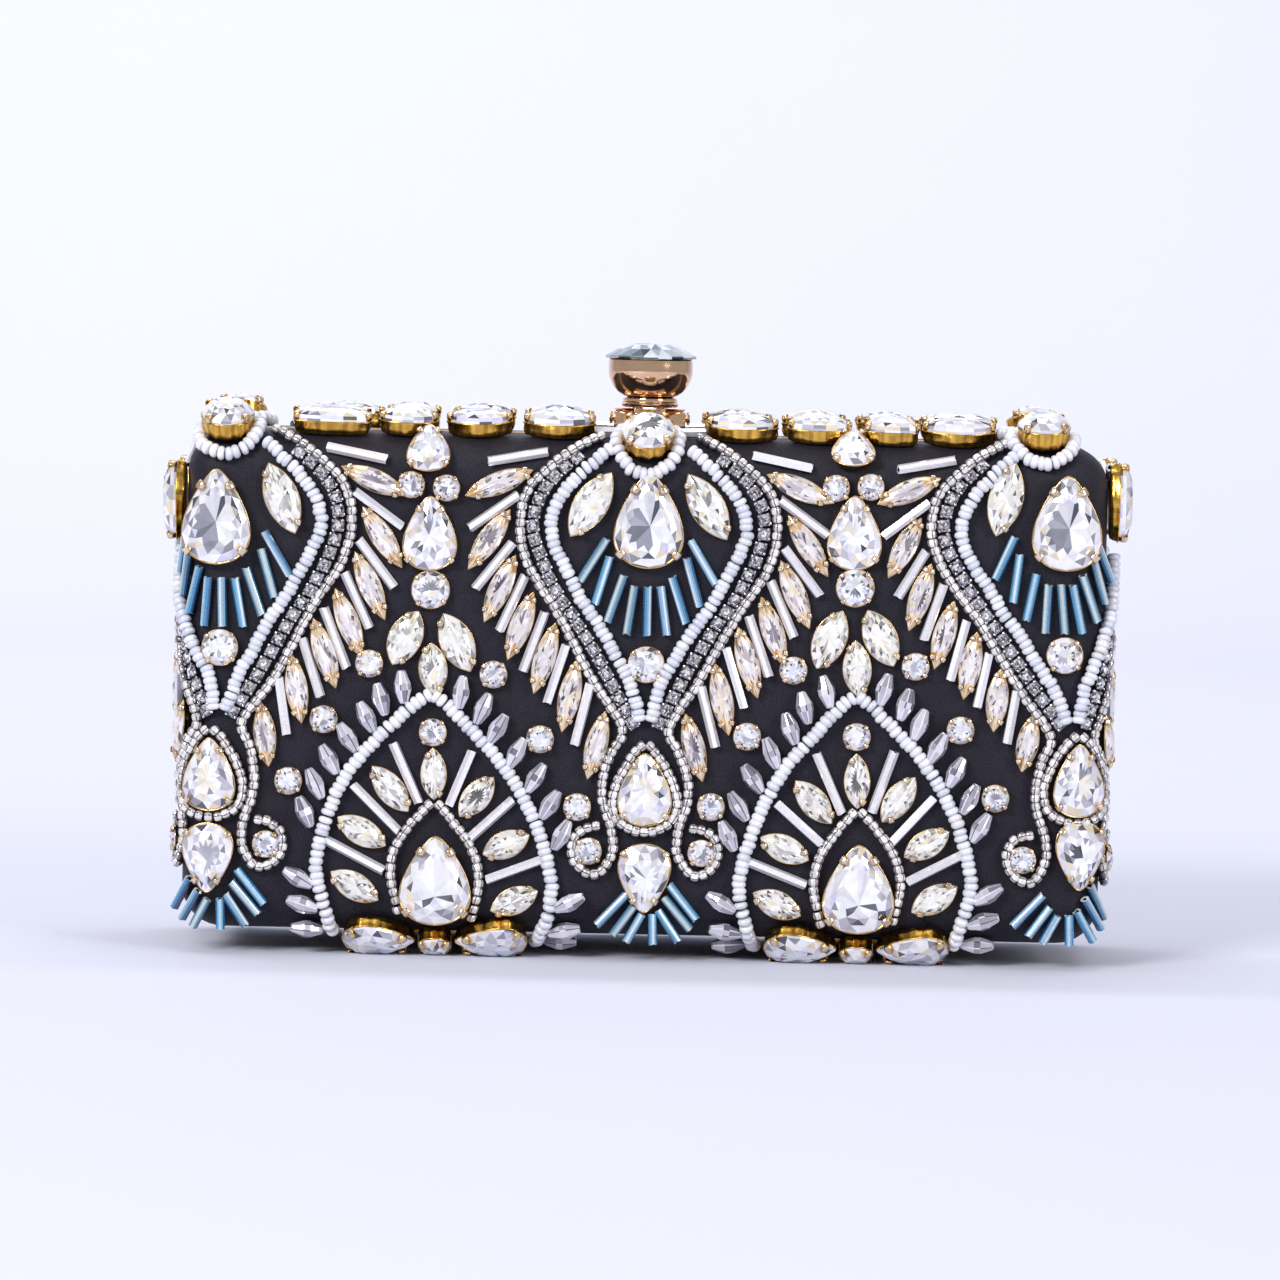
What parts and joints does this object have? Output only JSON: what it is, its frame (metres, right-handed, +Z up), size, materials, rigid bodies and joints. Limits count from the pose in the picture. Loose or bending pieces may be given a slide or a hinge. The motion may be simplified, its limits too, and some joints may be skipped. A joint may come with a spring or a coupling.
{
  "type": "evening bag",
  "caption": "Hard box clutch in dark satin: two hinged half shells in gold frames, sewn crystal beadwork all over, and a crystal knob clasp on top.",
  "frame": {"origin": "centre of the footprint, on the table that the bag stands on", "axes": "+X along the width to the right, -Y out of the front face, +Z up to the clasp"},
  "size_m": [0.2096, 0.0586, 0.1329],
  "materials": {
    "satin": "dark navy-black satin weave with a soft sheen",
    "shell": "black moulded plastic",
    "lining": "dark satin lining",
    "gold": "polished pale gold plate",
    "steel": "bright steel wire and pins",
    "crystal": "clear foil-backed faceted glass in gold claw cups, and glass beads"
  },
  "bodies": {
    "back": {"back_arch_pear_left": "crystal", "back_arch_pear_right": "crystal", "back_crown_stone_centre": "crystal", "back_crown_stone_left": "crystal", "back_crown_stone_right": "crystal", "back_foot_stone_left_a": "crystal", "back_foot_stone_left_b": "crystal", "back_foot_stone_left_c": "crystal", "back_foot_stone_right_a": "crystal", "back_foot_stone_right_b": "crystal", "back_foot_stone_right_c": "crystal", "back_frame": "gold", "back_lining": "lining", "back_satin": "satin", "back_shell": "shell", "back_side_stone_left": "crystal", "back_side_stone_right": "crystal", "back_teardrop_pear_centre": "crystal", "back_teardrop_pear_left": "crystal", "back_teardrop_pear_right": "crystal", "card_pocket": "lining", "clasp_base": "gold", "clasp_base_rivet_1": "gold", "clasp_base_rivet_2": "gold", "clasp_pin": "gold", "clasp_spring": "steel", "hinge_left_back_leaf": "gold", "hinge_left_pin": "steel", "hinge_right_back_leaf": "gold", "hinge_right_pin": "steel"},
    "front": {"catch_plate": "gold", "catch_rivet_1": "gold", "catch_rivet_2": "gold", "front_arch_pear_left": "crystal", "front_arch_pear_right": "crystal", "front_crown_stone_centre": "crystal", "front_crown_stone_left": "crystal", "front_crown_stone_right": "crystal", "front_foot_stone_left_a": "crystal", "front_foot_stone_left_b": "crystal", "front_foot_stone_left_c": "crystal", "front_foot_stone_right_a": "crystal", "front_foot_stone_right_b": "crystal", "front_foot_stone_right_c": "crystal", "front_frame": "gold", "front_lining": "lining", "front_satin": "satin", "front_shell": "shell", "front_side_stone_left": "crystal", "front_side_stone_right": "crystal", "front_teardrop_pear_centre": "crystal", "front_teardrop_pear_left": "crystal", "front_teardrop_pear_right": "crystal", "hinge_left_front_leaf": "gold", "hinge_right_front_leaf": "gold"},
    "clasp_lever": {"clasp_lever": "gold", "clasp_cup": "gold", "clasp_crystal": "crystal"}
  },
  "joints": [
    {"name": "lid_hinge", "type": "hinge", "parent": "back", "child": "front", "pos_m": [0, 0, 0.00285], "axis": [1, 0, 0], "range_deg": [0, 80]},
    {"name": "clasp_lever", "type": "hinge", "parent": "back", "child": "clasp_lever", "pos_m": [0, 0, 0.1168], "axis": [-1, 0, 0], "range_deg": [0, 25], "stiffness_Nm_per_rad": 0.04, "springref_deg": -17.19}
  ]
}
